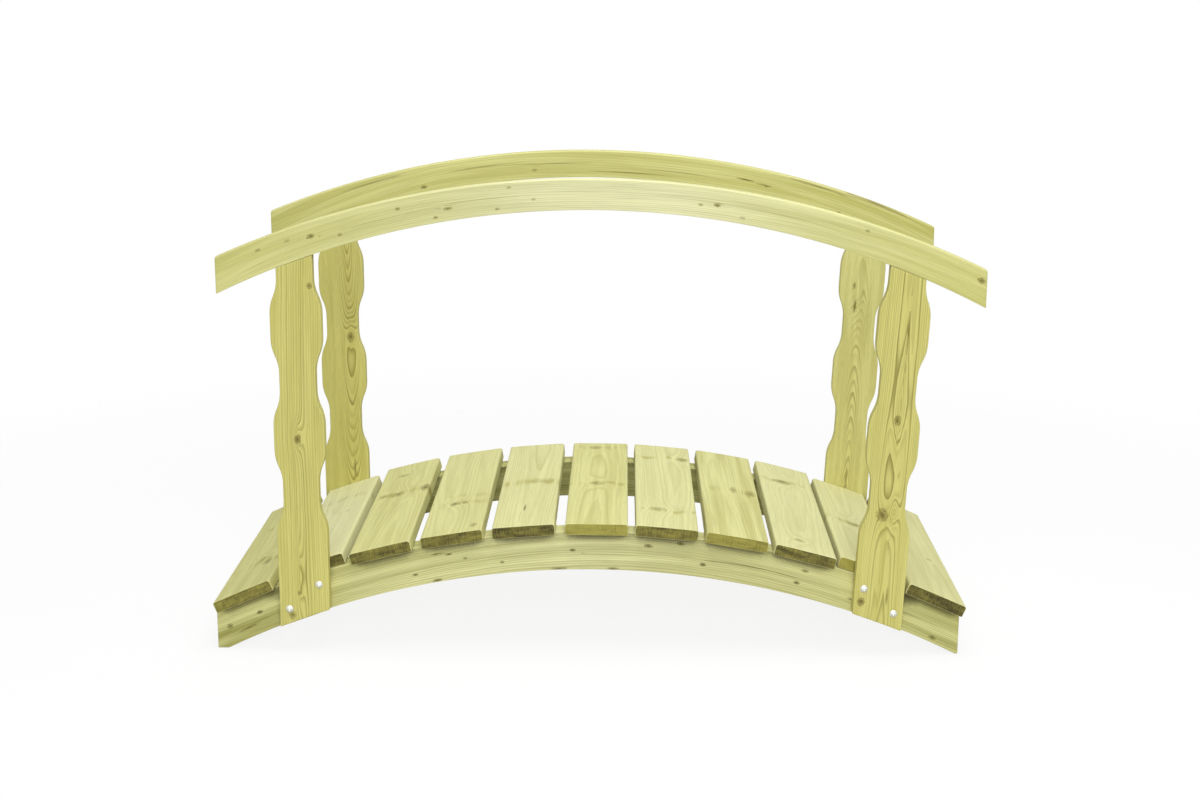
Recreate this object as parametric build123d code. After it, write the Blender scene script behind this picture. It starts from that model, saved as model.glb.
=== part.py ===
from build123d import *
from math import asin, atan2, cos, degrees, pi, sin, sqrt
import os

# Garden footbridge in planed, pressure-impregnated pine. Millimetres.
# X runs along the bridge, Y across it, Z up. The origin lies on the ground under the middle.

# Deck
plank_count = 11
plank_width = 116.0
plank_thickness = 22.0
plank_length = 600.0
plank_gap = 15.5               # between planks, measured along the bearers' top edge
plank_round = 4.0              # rounding of the planks' upper long edges
plank_seat = 0.2               # play between a plank and the crown it lies on
deck_slide = 7.0               # the deck sits this much to the right
plank_nudge = {                # planks nailed out of step with the others
    1: -11.5, 2: -3.0, 3: -4.0, 4: -1.0, 6: 2.5, 8: -1.5, 9: -5.0, 10: -12.0, 11: -12.0,
}

# Curved bearers under the deck
bearer_radius = 1535.0         # lower edge
bearer_rise = 160.0            # ground to the lower edge at mid span
bearer_depth = 74.0
bearer_thickness = 45.0
bearer_overhang = 162.0        # past the middles of the posts' feet
bearer_inset = 25.0            # how far the planks run out over each bearer
bearer_slide = -7.5            # the bearers' ends sit this much to the left

# Posts, bolted to the outer faces of the bearers
post_thickness = 24.0
post_width = 92.5              # at the foot and at the bellies
post_neck_width = 65.5
post_spacing = 1066.0          # between the feet's middles
post_sweep_radius = 80.0       # of the arcs between a belly and a neck
post_first_neck = 262.0        # height where the foot starts to narrow, at half depth
post_neck_length = 98.0        # between the half-depth points
post_belly_length = 109.0
post_foot_clear = 4.0          # foot ends this much above the bearer's lower edge
post_lean = {                  # degrees outwards, about the foot's bolts
    "front": {"left": 0.0, "right": 2.9},
    "rear": {"left": 0.35, "right": 2.5},
}
post_lean_height = 110.0
post_ease = 1.5                # bevel along the wavy edges
post_plank_gap = 0.5           # between a post and the end of the short plank beside it
post_side_gap = 1.0            # a plank that comes nearer than this to a post's edge is a short one

# Curved handrails, standing on the posts' upper ends
rail_thickness = 24.0
rail_lower_radius = 1535.0
rail_upper_radius = {"front": 1648.0, "rear": 1750.0}
rail_depth = 55.0              # at mid span
rail_rise = {"front": 834.5, "rear": 829.0}       # ground to the lower edge at mid span
rail_overhang = 156.0          # past the middles of the posts' feet
rail_slide = {"front": 15.0, "rear": 11.0}        # the rails' ends sit this much to the right
rail_arc_shift = {"front": -2.5, "rear": -19.0}   # and the top of their arcs
rail_seat = 0.2

# Coach bolts through post and bearer
bolt_diameter = 6.0
bolt_head_diameter = 14.0
bolt_head_height = 3.6
bolt_flats = 16                # sides that the bolts' heads and washers are drawn with
bolt_head_rings = 3            # slopes of the low dome
bolt_neck = 6.0                # side of the square under the head
bolt_neck_length = 3.0
bolt_hole_play = 0.25          # on the radius
bolt_end = 4.0                 # thread standing out of the nut
bolt_side_edge = 18.25         # from a bolt's middle to the post's edge: lower bolt outer, upper one inner
lower_bolt_edge = 32.8         # above the bearer's lower edge
upper_bolt_edge = 18.1         # below its top
washer_diameter = 18.0
washer_thickness = 1.6
nut_width = 10.0
nut_height = 5.0

# Along Y and along X
sides = {"front": -1, "rear": 1}
ends = {"left": -1, "right": 1}

# Worked out from the above
deck_half = plank_length / 2
bearer_face = deck_half - bearer_inset
bearer_centre = bearer_rise - bearer_radius
bearer_top_radius = bearer_radius + bearer_depth
post_middle = post_spacing / 2
bearer_length = post_spacing + 2 * bearer_overhang
rail_length = post_spacing + 2 * rail_overhang
plank_spacing = plank_width + plank_gap
short_plank_length = 2 * (bearer_face - post_plank_gap)
bolt_stagger = post_width / 2 - bolt_side_edge


def height_on_arc(radius, centre, x):
    return centre + sqrt(radius ** 2 - x ** 2)


def upright_plate(profile, y_low, y_high):
    # a flat profile, x across and y up, turned upright and given its thickness along Y
    plane = Plane(origin=(0, y_high, 0), x_dir=(1, 0, 0), z_dir=(0, -1, 0))
    return extrude(plane * profile, amount=y_high - y_low)


def round_bar(radius, x, centre, y_low, y_high):
    return Pos(x, (y_low + y_high) / 2, centre) * Rot(90, 0, 0) * Cylinder(radius, y_high - y_low)


# Bearer: a band between two concentric arcs, cut upright at its ends, with a level foot at each
def bearer(side):
    left, right = bearer_slide - bearer_length / 2, bearer_slide + bearer_length / 2
    foot = sqrt(bearer_radius ** 2 - bearer_centre ** 2)
    left_top, right_top = (height_on_arc(bearer_top_radius, bearer_centre, x) for x in (left, right))
    outline = [
        ThreePointArc((-foot, 0), (0, bearer_rise), (foot, 0)),
        Line((foot, 0), (right, 0)),
        Line((right, 0), (right, right_top)),
        ThreePointArc((right, right_top), (0, bearer_rise + bearer_depth), (left, left_top)),
        Line((left, left_top), (left, 0)),
        Line((left, 0), (-foot, 0)),
    ]
    inner = bearer_face - bearer_thickness
    low, high = sorted((side * bearer_face, side * inner))
    return upright_plate(make_face(outline), low, high)


# Whether a plank that lies this far along the deck would run into the posts
def meets_post(along):
    edges = [along - plank_width / 2, along + plank_width / 2]
    near, far = sorted(abs(bearer_top_radius * sin(edge / bearer_top_radius)) for edge in edges)
    reach = post_width / 2 + post_side_gap
    return near < post_middle + reach and far > post_middle - reach


# Deck plank: a flat board lying on the crown of both bearers
def plank(number):
    along = (number - (plank_count + 1) / 2) * plank_spacing + deck_slide + plank_nudge.get(number, 0)
    turn = degrees(along / bearer_top_radius)
    length = short_plank_length if meets_post(along) else plank_length
    board = Box(plank_width, length, plank_thickness)
    upper = board.edges().filter_by(Axis.Y).group_by(Axis.Z)[-1]
    board = fillet(upper, plank_round)
    radius = bearer_top_radius + plank_seat + plank_thickness / 2
    return Pos(0, 0, bearer_centre) * Rot(0, turn, 0) * Pos(0, 0, radius) * board


# Right edge of a post, from its foot up: straight bellies and necks joined by pairs of arcs
def post_edge(top):
    step = (post_width - post_neck_width) / 2
    half_wide = post_width / 2
    half_neck = post_neck_width / 2
    swing = step / 2
    reach = sqrt(post_sweep_radius ** 2 - (post_sweep_radius - swing) ** 2)
    edge = []
    x, z = half_wide, 0.0
    middle = post_first_neck
    narrowing = True
    while middle + reach < top:
        start, end = (half_wide, half_neck) if narrowing else (half_neck, half_wide)
        edge.append(Line((x, z), (start, middle - reach)))
        waist = ((start + end) / 2, middle)
        edge.append(TangentArc((start, middle - reach), waist, tangent=(0, 1)))
        edge.append(TangentArc(waist, (end, middle + reach), tangent=edge[-1] % 1))
        x, z = end, middle + reach
        middle += post_neck_length if narrowing else post_belly_length
        narrowing = not narrowing
    edge.append(Line((x, z), (x, top)))
    return edge


# Post: wavy board on the bearer's outer face, cut to the arcs below and above it
def post(side_name, end_name):
    side, end = sides[side_name], ends[end_name]
    rise, rail_x = rail_rise[side_name], rail_arc_shift[side_name]
    right = post_edge(rise)
    left = [e.mirror(Plane.YZ) for e in right]
    lid = Line(right[-1] @ 1, left[-1] @ 1)
    sill = Line(right[0] @ 0, left[0] @ 0)
    board_low, board_high = sorted((side * bearer_face, side * (bearer_face + post_thickness)))
    board = upright_plate(make_face(right + left + [lid, sill]), board_low, board_high)
    wavy = [e for e in board.edges() if abs(e.tangent_at(0.5).Z) > 0.5]
    board = chamfer(wavy, post_ease)
    board = Rot(0, end * post_lean[side_name][end_name], 0) * Pos(0, 0, -post_lean_height) * board
    board = Pos(end * post_middle, 0, post_lean_height) * board
    board -= round_bar(bearer_radius + post_foot_clear, 0, bearer_centre, board_low - 1, board_high + 1)
    rail_centre = rise - rail_lower_radius
    board &= round_bar(rail_lower_radius - rail_seat, rail_x, rail_centre, board_low, board_high)
    for x, z in bolt_places(end).values():
        board -= bolt_cut(side, x, z)
    return board


# Handrail: a board on edge whose upper edge is a flatter arc than its lower one
def handrail(side_name):
    side, shift = sides[side_name], rail_arc_shift[side_name]
    rise, upper_radius = rail_rise[side_name], rail_upper_radius[side_name]
    top = rise + rail_depth
    middle = rail_slide[side_name] - shift
    reach = [middle - rail_length / 2, middle + rail_length / 2]
    low = [(x, height_on_arc(rail_lower_radius, rise - rail_lower_radius, x)) for x in reach]
    high = [(x, height_on_arc(upper_radius, top - upper_radius, x)) for x in reach]
    outline = [
        ThreePointArc(low[0], (0, rise), low[1]),
        Line(low[1], high[1]),
        ThreePointArc(high[1], (0, top), high[0]),
        Line(high[0], low[0]),
    ]
    y_low, y_high = sorted((side * bearer_face, side * (bearer_face + rail_thickness)))
    return Pos(shift, 0, 0) * upright_plate(make_face(outline), y_low, y_high)


def bolt_places(end):
    outer, inner = post_middle + bolt_stagger, post_middle - bolt_stagger
    low = height_on_arc(bearer_radius, bearer_centre, outer) + lower_bolt_edge
    high = height_on_arc(bearer_top_radius, bearer_centre, inner) - upper_bolt_edge
    return {"lower": (end * outer, low), "upper": (end * inner, high)}


# Coach bolt, drawn along +Z with the underside of its head at zero, then laid along Y
def lay_bolt(side, x, z, shape):
    face = side * (bearer_face + post_thickness)
    return Pos(x, face, z) * Rot(-90 * side, 0, 0) * shape


def bolt_cut(side, x, z):
    through = post_thickness + bearer_thickness + 2
    hole = Pos(0, 0, -through / 2 + 1) * Cylinder(bolt_diameter / 2 + bolt_hole_play, through)
    square = bolt_neck + 2 * bolt_hole_play
    pocket = Pos(0, 0, -bolt_neck_length / 2) * Box(square, square, bolt_neck_length + 2 * bolt_hole_play)
    return lay_bolt(side, x, z, hole + pocket)


# Its head: rings of a sphere's cap, each with many flats, under a small flat top
def bolt_head():
    radius = bolt_head_diameter / 2
    dome_radius = (radius ** 2 + bolt_head_height ** 2) / (2 * bolt_head_height)
    spread = asin(radius / dome_radius)
    steps = [spread * (1 - ring / (bolt_head_rings + 0.5)) for ring in range(bolt_head_rings + 1)]
    rings = [(dome_radius * sin(a), dome_radius * (cos(a) - cos(spread))) for a in steps]
    head = None
    for (wide, low), (narrow, high) in zip(rings, rings[1:]):
        taper = degrees(atan2((wide - narrow) * cos(pi / bolt_flats), high - low))
        ring = extrude(Pos(0, 0, low) * RegularPolygon(wide, bolt_flats), amount=high - low, taper=taper)
        head = ring if head is None else head + ring
    return head


def coach_bolt(side, x, z):
    grip = post_thickness + bearer_thickness
    length = grip + washer_thickness + nut_height + bolt_end
    shank = Pos(0, 0, -length / 2) * Cylinder(bolt_diameter / 2, length)
    neck = Pos(0, 0, -bolt_neck_length / 2) * Box(bolt_neck, bolt_neck, bolt_neck_length)
    disc = RegularPolygon(washer_diameter / 2, bolt_flats)
    washer = extrude(Pos(0, 0, -grip) * disc, amount=-washer_thickness)
    nut_middle = -grip - washer_thickness - nut_height / 2
    nut = extrude(RegularPolygon(nut_width / 2, 6, major_radius=False), amount=nut_height / 2, both=True)
    return lay_bolt(side, x, z, bolt_head() + neck + shank + washer + Pos(0, 0, nut_middle) * nut)


def save(name, shape):
    shape.label = name
    export_step(shape, f"parts/{name}.step")


os.makedirs("parts", exist_ok=True)

for side_name, side in sides.items():
    beam = bearer(side)
    for end_name, end in ends.items():
        save(f"post_{side_name}_{end_name}", post(side_name, end_name))
        for level, (x, z) in bolt_places(end).items():
            beam -= bolt_cut(side, x, z)
            save(f"coach_bolt_{side_name}_{end_name}_{level}", coach_bolt(side, x, z))
    save(f"bearer_{side_name}", beam)
    save(f"handrail_{side_name}", handrail(side_name))

for number in range(1, plank_count + 1):
    save(f"deck_plank_{number:02d}", plank(number))
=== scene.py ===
import math
import bmesh
import bpy
import numpy as np
from mathutils import Matrix, Vector


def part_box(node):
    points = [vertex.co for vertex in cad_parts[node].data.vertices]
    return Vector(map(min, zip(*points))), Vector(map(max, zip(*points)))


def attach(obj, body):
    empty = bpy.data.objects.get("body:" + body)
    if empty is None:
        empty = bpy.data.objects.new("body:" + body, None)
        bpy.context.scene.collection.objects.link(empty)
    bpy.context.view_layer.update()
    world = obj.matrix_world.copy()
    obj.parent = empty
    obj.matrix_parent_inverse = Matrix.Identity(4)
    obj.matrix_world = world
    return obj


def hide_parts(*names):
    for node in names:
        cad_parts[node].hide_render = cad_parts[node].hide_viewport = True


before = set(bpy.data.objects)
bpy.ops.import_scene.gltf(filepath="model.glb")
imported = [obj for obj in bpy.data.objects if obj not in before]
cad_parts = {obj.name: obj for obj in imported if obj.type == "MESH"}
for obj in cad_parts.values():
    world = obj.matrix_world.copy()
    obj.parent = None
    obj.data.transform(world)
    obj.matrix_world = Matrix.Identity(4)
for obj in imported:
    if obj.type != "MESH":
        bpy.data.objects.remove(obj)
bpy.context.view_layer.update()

# Garden footbridge in pale green, pressure-impregnated pine.
# Boards are drawn in millimetres and turned to metres when their mesh is made.
mm = 0.001
sides = {"front": -1, "rear": 1}      # along Y
ends = {"left": -1, "right": 1}       # along X
random = np.random.default_rng(11)
anyPhase = (0, 6.28)                  # radians, for waves that start anywhere
print("stage: frame loaded with", len(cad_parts), "solids")


def linear(hexColour):
    # sRGB hex to the linear colour that shader sockets take
    parts = [int(hexColour[k:k + 2], 16) / 255 for k in (1, 3, 5)]
    bent = [c / 12.92 if c <= 0.04045 else ((c + 0.055) / 1.055) ** 2.4 for c in parts]
    return (*bent, 1.0)


def emptyTree(owner):
    # the cleared node tree of a material or the world
    owner.use_nodes = True
    owner.node_tree.nodes.clear()
    return owner.node_tree


def addNode(tree, kind, settings=None, links=None):
    node = tree.nodes.new("ShaderNode" + kind)
    for key, value in (settings or {}).items():
        if isinstance(key, str) and hasattr(node, key):
            setattr(node, key, value)
        else:
            node.inputs[key].default_value = value
    for key, source in (links or {}).items():
        tree.links.new(source if isinstance(source, bpy.types.NodeSocket) else source.outputs[0],
                       node.inputs[key])
    return node


# Camera, where the photographer stood
cameraLook = {
    "place": (0.0570, -3.6432, 1.2634),   # metres
    "turn": -0.715,                       # degrees to the right of straight across the bridge
    "tilt": 13.024,                       # degrees downwards
    "roll": 0.227,
    "lens": 56.88,                        # millimetres
    "sensor": 36,
    "clip": (0.05, 200),                  # metres
}


def makeCamera(look):
    data = bpy.data.cameras.new("viewCamera")
    data.lens, data.sensor_width = look["lens"], look["sensor"]
    data.clip_start, data.clip_end = look["clip"]
    camera = bpy.data.objects.new("viewCamera", data)
    turn = Matrix.Rotation(math.radians(-look["turn"]), 4, "Z")
    tilt = Matrix.Rotation(math.radians(90 - look["tilt"]), 4, "X")
    roll = Matrix.Rotation(math.radians(look["roll"]), 4, "Z")
    camera.matrix_world = Matrix.Translation(look["place"]) @ turn @ tilt @ roll
    bpy.context.collection.objects.link(camera)
    bpy.context.scene.camera = camera


makeCamera(cameraLook)

# Studio: soft even world, one broad lamp above and one low in front. Metres and watts
studio = {
    "world": 0.34,
    "lamps": {
        "overhead": {"place": (0.3, -0.6, 3.4), "aim": (0, 0, 0.3), "size": 2.6, "power": 78},
        "frontFill": {"place": (0.3, -4.6, 1.8), "aim": (0, 0, 0.5), "size": 2.2, "power": 96},
    },
    "floorSize": 16.0,
    "floorDrop": 0.0004,                  # just under the feet
    "floorFade": (1.2, 2.6),              # from the middle, where the floor gives way to white
    "floorGlow": 0.87,                    # how white the seen floor is by itself: the rest takes the shadow
    "floorTone": "#E4E4E0",               # what the floor throws back at the bridge
}
white = linear("#FFFFFF")
smooth = {"interpolation_type": "SMOOTHSTEP"}


def makeWorld(look):
    # plain white to the eye, in mirrors and through glass, and a softer light on everything else
    world = bpy.data.worlds.new("softWorld")
    bpy.context.scene.world = world
    tree = emptyTree(world)
    rays = addNode(tree, "LightPath").outputs
    seen = addNode(tree, "Math", {"operation": "MAXIMUM"},
                   {0: rays["Is Camera Ray"], 1: rays["Is Glossy Ray"]})
    seen = addNode(tree, "Math", {"operation": "MAXIMUM"}, {0: seen, 1: rays["Is Transmission Ray"]})
    light = addNode(tree, "Background", {"Color": white, "Strength": look["world"]})
    backdrop = addNode(tree, "Background", {"Color": white, "Strength": 1.0})
    both = addNode(tree, "MixShader", {}, {0: seen, 1: light, 2: backdrop})
    addNode(tree, "OutputWorld", {}, {"Surface": both})


def makeLamps(look):
    for name, lamp in look["lamps"].items():
        data = bpy.data.lights.new(name, "AREA")
        data.shape, data.size, data.energy = "SQUARE", lamp["size"], lamp["power"]
        holder = bpy.data.objects.new(name, data)
        back = Vector(lamp["place"]) - Vector(lamp["aim"])
        turn = back.to_track_quat("Z", "Y").to_matrix().to_4x4()
        holder.matrix_world = Matrix.Translation(lamp["place"]) @ turn
        bpy.context.collection.objects.link(holder)


def paleMattFloor(look):
    # keeps the bridge's shadow and fades into the white round it
    material = bpy.data.materials.new("paleMattFloor")
    tree = emptyTree(material)
    toEye = addNode(tree, "LightPath").outputs["Is Camera Ray"]
    spot = addNode(tree, "NewGeometry").outputs["Position"]
    reach = addNode(tree, "VectorMath", {"operation": "LENGTH"}, {0: spot}).outputs["Value"]
    near, far = look["floorFade"]
    fade = addNode(tree, "MapRange", {**smooth, "From Min": near, "From Max": far}, {"Value": reach})
    matt = addNode(tree, "BsdfDiffuse", {"Color": white})
    glow = addNode(tree, "Emission", {"Color": white, "Strength": 1.0})
    seen = addNode(tree, "MixShader", {0: look["floorGlow"]}, {1: matt, 2: glow})
    plain = addNode(tree, "BsdfDiffuse", {"Color": linear(look["floorTone"])})
    clear = addNode(tree, "BsdfTransparent")
    both = addNode(tree, "MixShader", {}, {0: toEye, 1: plain, 2: seen})
    both = addNode(tree, "MixShader", {}, {0: fade, 1: both, 2: clear})
    addNode(tree, "OutputMaterial", {}, {"Surface": both})
    return material


def makeFloor(look):
    half, level = look["floorSize"] / 2, -look["floorDrop"]
    mesh = bpy.data.meshes.new("studioFloor")
    corners = [(-half, -half, level), (half, -half, level), (half, half, level), (-half, half, level)]
    mesh.from_pydata(corners, [], [(0, 1, 2, 3)])
    mesh.materials.append(paleMattFloor(look))
    floor = bpy.data.objects.new("studioFloor", mesh)
    bpy.context.collection.objects.link(floor)


makeWorld(studio)
makeLamps(studio)
makeFloor(studio)
bpy.context.scene.view_settings.view_transform = "Standard"
print("stage: camera and studio ready")

# Pressure-impregnated planed pine. Growth rings show as soft lines along the board, arches where a
# board is cut flat to the rings, dark streaky end grain that drank more salt, and knots with their
# rings drawn close round them. Painted shade darkens the colour where two pieces meet and under overhangs.
# ringSpacing is in mm
pineLooks = {
    "pressureTreatedPinePlank": {
        "early": "#D8D68F", "late": "#B4AF6B", "pale": "#E3E1AC", "worn": "#DEDCA0", "stain": "#BAB468",
        "knot": "#A1985A", "knotHeart": "#5D5428", "endLight": "#A19A48", "endDark": "#463F1A",
        "ringSpacing": 2.8, "ringStrength": 0.45, "fibreStrength": 0.08, "blotchStrength": 0.04,
    },
    "pressureTreatedPinePost": {
        "early": "#CEC876", "late": "#7C7430", "pale": "#DCD88F", "worn": "#DAD68A", "stain": "#B9AF52",
        "knot": "#938A44", "knotHeart": "#5F5626", "endLight": "#A09A50", "endDark": "#6B6530",
        "ringSpacing": 2.2, "ringStrength": 0.85, "fibreStrength": 0.10, "blotchStrength": 0.05,
    },
    "pressureTreatedPineRail": {
        "early": "#D1CF86", "late": "#A29D52", "pale": "#E2E1B8", "worn": "#E2E0AC", "stain": "#C0BC64",
        "knot": "#9A914E", "knotHeart": "#655C2A", "endLight": "#B5B16A", "endDark": "#7E783C",
        "ringSpacing": 3.0, "ringStrength": 0.48, "fibreStrength": 0.10, "blotchStrength": 0.10,
    },
    "pressureTreatedPineBearer": {
        "early": "#D2D08E", "late": "#948F48", "pale": "#E2E1B2", "worn": "#DAD8A0", "stain": "#A09D50",
        "knot": "#878042", "knotHeart": "#4B4620", "endLight": "#A29E5C", "endDark": "#6C6733",
        "ringSpacing": 2.8, "ringStrength": 0.62, "fibreStrength": 0.11, "blotchStrength": 0.12,
    },
}

# Noise drawn out along the grain, sizes in mm along, across and through the board
grainNoise = {"Scale": 1.0, "Detail": 2.5, "Roughness": 0.55}
grainSizes = {
    "wander": (420, 46, 46),      # slow waver of the rings
    "ripple": (80, 9, 9),         # small waver of single lines
    "fibre": (70, 1.5, 1.5),      # bundles of fibres, drawn coarser than the real 0.1 mm
    "blotch": (420, 17, 17),      # uneven uptake of the salt
    "fleck": (11, 1.2, 1.2),      # short resin ducts, drawn coarser than the real 0.3 mm
    "sawn": (900, 1.6, 14),       # torn bundles on the sawn ends
    "soak": (900, 34, 7),         # where the ends drank more salt
}
ringLook = {
    "wander": 3.0, "ripple": 0.9,             # mm that the noise pushes a ring
    "uneven": 1.3, "unevenOver": 3.3,         # years that rings are pushed apart by, and over how many
    "faintest": 0.25,                         # of the darkest ring
    "rise": (0.32, 0.88), "fall": (1.0, 0.92),    # how far through a year its line darkens and ends
}
# How a knot fades from its middle outwards, in its own half sizes: none from, full from, strongest
knotZones = {
    "body": (1.5, 0.4, 1.0),
    "heart": (0.80, 0.10, 0.75),
    "rimInside": (0.70, 0.95, 1.0),
    "rimOutside": (1.30, 1.0, 1.0),
}
knotRagged = {
    "waves": 1.1,                         # of the outline, in one half size
    "push": 1.1,                          # from end to end, in half sizes
    "gaps": (0.35, 0.65, 0.8),            # in the dark line: none from, full from, strongest
}
woodFinish = {
    "streak": (0.38, 0.64),               # where in the blotches a salt stain starts and is full
    "duct": (0.66, 0.76, 0.84),           # the same for ducts in the flecks, and their brightness
    "worn": 0.35,                         # how much of the worn colour the eased edges take
    "soaked": 1.3, "torn": 1.2,           # how far the two noises vary the sawn ends
    "roughness": (0.60, 0.78),
    "ringRelief": 0.6,                    # beside the fibres' relief
    "relief": 0.0001,                     # metres
}
# Painted shade where pieces meet and under overhangs: the colour darkens by how closed in each spot is
paintedShadeLook = {
    "reach": 0.034,                       # metres
    "upwards": 1.2,                       # turns the look-round up, so that overhangs darken most
    "open": 0.48, "closed": 0.28,         # how open a spot is where the painted shade starts and where it is full
    "cover": 0.88,
    "none": 0.7,                          # upward part of the normal from which a face stays unshaded
    # colour of the painted shade, a dark olive
    "shadeColour": "#3E3816",
}
noiseSpan = {"From Min": 0.25, "From Max": 0.75}      # where most of a noise lies


def woodNoise(tree, grain):
    fields = {}
    for key, size in grainSizes.items():
        drawn = addNode(tree, "VectorMath", {"operation": "DIVIDE", 1: size}, {0: grain})
        fields[key] = addNode(tree, "TexNoise", grainNoise, {"Vector": drawn})
    return fields


def growthRings(tree, grain, fields, spacing):
    # shells round the pith, pushed about by the noise
    flat = addNode(tree, "VectorMath", {"operation": "MULTIPLY", 1: (0, 1, 1)}, {0: grain})
    radius = addNode(tree, "VectorMath", {"operation": "LENGTH"}, {0: flat}).outputs["Value"]
    for key in ("wander", "ripple"):
        radius = addNode(tree, "Math", {"operation": "MULTIPLY_ADD", 1: ringLook[key]},
                         {0: fields[key], 2: radius})

    # uneven years: some rings wide, some narrow, some hardly dark
    years = addNode(tree, "Math", {"operation": "DIVIDE", 1: spacing}, {0: radius})
    slow = addNode(tree, "Math", {"operation": "DIVIDE", 1: ringLook["unevenOver"]}, {0: years})
    slow = addNode(tree, "TexNoise", {"noise_dimensions": "1D", "Scale": 1.0, "Detail": 1.0}, {"W": slow})
    years = addNode(tree, "Math", {"operation": "MULTIPLY_ADD", 1: ringLook["uneven"]}, {0: slow, 2: years})
    season = addNode(tree, "Math", {"operation": "FRACT"}, {0: years})
    year = addNode(tree, "Math", {"operation": "FLOOR"}, {0: years})
    growth = addNode(tree, "TexWhiteNoise", {"noise_dimensions": "1D"}, {"W": year})
    darkness = addNode(tree, "MapRange", {"To Min": ringLook["faintest"], "To Max": 1.0}, {"Value": growth})
    (riseFrom, riseTo), (fallTo, fallFrom) = ringLook["rise"], ringLook["fall"]
    rise = addNode(tree, "MapRange", {**smooth, "From Min": riseFrom, "From Max": riseTo}, {"Value": season})
    fall = addNode(tree, "MapRange", {**smooth, "From Min": fallTo, "From Max": fallFrom}, {"Value": season})
    line = addNode(tree, "Math", {"operation": "MULTIPLY"}, {0: rise, 1: fall})
    return addNode(tree, "Math", {"operation": "MULTIPLY"}, {0: line, 1: darkness})


def woodShade(tree, look, fields):
    # fibre and blotches lighten and darken the colour, resin ducts darken it
    fibre, blotch = look["fibreStrength"], look["blotchStrength"]
    shade = addNode(tree, "MapRange", {**noiseSpan, "To Min": 1 - fibre, "To Max": 1 + fibre},
                    {"Value": fields["fibre"]})
    patch = addNode(tree, "MapRange", {**noiseSpan, "To Min": 1 + blotch, "To Max": 1 - blotch},
                    {"Value": fields["blotch"]})
    start, full, darkest = woodFinish["duct"]
    duct = addNode(tree, "MapRange", {**smooth, "From Min": start, "From Max": full, "To Min": 1.0,
                                      "To Max": darkest}, {"Value": fields["fleck"]})
    shade = addNode(tree, "Math", {"operation": "MULTIPLY"}, {0: shade, 1: patch})
    return addNode(tree, "Math", {"operation": "MULTIPLY"}, {0: shade, 1: duct})


def knotTones(tree, knot, strength):
    # a soft, slightly ragged body, and a dark heart with a broken dark line round it
    ragged = addNode(tree, "TexNoise", {"Scale": knotRagged["waves"], "Detail": 3.0}, {"Vector": knot})
    push = knotRagged["push"]
    bent = addNode(tree, "VectorMath", {"operation": "MULTIPLY_ADD", 1: (push, push, 0),
                                        2: (-push / 2, -push / 2, 0)}, {0: ragged.outputs["Color"]})
    middle = addNode(tree, "VectorMath", {"operation": "MULTIPLY_ADD", 1: (1, 1, 0)}, {0: knot, 2: bent})
    out = addNode(tree, "VectorMath", {"operation": "LENGTH"}, {0: middle}).outputs["Value"]
    zones = {}
    for key, (none, full, most) in knotZones.items():
        zones[key] = addNode(tree, "MapRange", {**smooth, "From Min": none, "From Max": full, "To Max": most},
                             {"Value": out})
    none, full, most = knotRagged["gaps"]
    broken = addNode(tree, "MapRange", {"From Min": none, "From Max": full, "To Max": most},
                     {"Value": ragged})
    line = addNode(tree, "Math", {"operation": "MULTIPLY"}, {0: zones["rimInside"], 1: zones["rimOutside"]})
    line = addNode(tree, "Math", {"operation": "MULTIPLY"}, {0: line, 1: broken})
    dark = addNode(tree, "Math", {"operation": "MAXIMUM"}, {0: zones["heart"], 1: line})
    return [addNode(tree, "Math", {"operation": "MULTIPLY"}, {0: tone, 1: strength})
            for tone in (zones["body"], dark)]


def sawnEnds(tree, look, fields, tone):
    # streaks where the open fibres drank salt, and torn bundles
    soaked, torn = (
        addNode(tree, "Math", {"operation": "MULTIPLY_ADD", 1: amount, 2: -amount / 2}, {0: fields[key]})
        for key, amount in (("soak", woodFinish["soaked"]), ("sawn", woodFinish["torn"])))
    soaked = addNode(tree, "Math", {"operation": "ADD"}, {0: soaked, 1: torn})
    soaked = addNode(tree, "Math", {"operation": "ADD", "use_clamp": True}, {0: soaked, 1: tone})
    shades = {6: linear(look["endLight"]), 7: linear(look["endDark"])}
    return addNode(tree, "Mix", {"data_type": "RGBA", **shades}, {0: soaked}).outputs[2]


def paintedCornerShade(tree):
    # painted shade: the more closed in a spot is, the darker, but never on a face that looks up
    facing = addNode(tree, "NewGeometry").outputs["Normal"]
    level = addNode(tree, "SeparateXYZ", {}, {0: facing}).outputs["Z"]
    facing = addNode(tree, "VectorMath", {"operation": "ADD", 1: (0, 0, paintedShadeLook["upwards"])}, {0: facing})
    facing = addNode(tree, "VectorMath", {"operation": "NORMALIZE"}, {0: facing})
    corner = addNode(tree, "AmbientOcclusion", {"samples": 8, "Distance": paintedShadeLook["reach"]},
                     {"Normal": facing}).outputs["AO"]
    corner = addNode(tree, "MapRange", {**smooth, "From Min": paintedShadeLook["open"], "From Max": paintedShadeLook["closed"],
                                        "To Max": paintedShadeLook["cover"]}, {"Value": corner})
    notOnTop = addNode(tree, "MapRange", {"From Max": paintedShadeLook["none"], "To Min": 1.0, "To Max": 0.0},
                       {"Value": level})
    return addNode(tree, "Math", {"operation": "MULTIPLY"}, {0: corner, 1: notOnTop})


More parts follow.
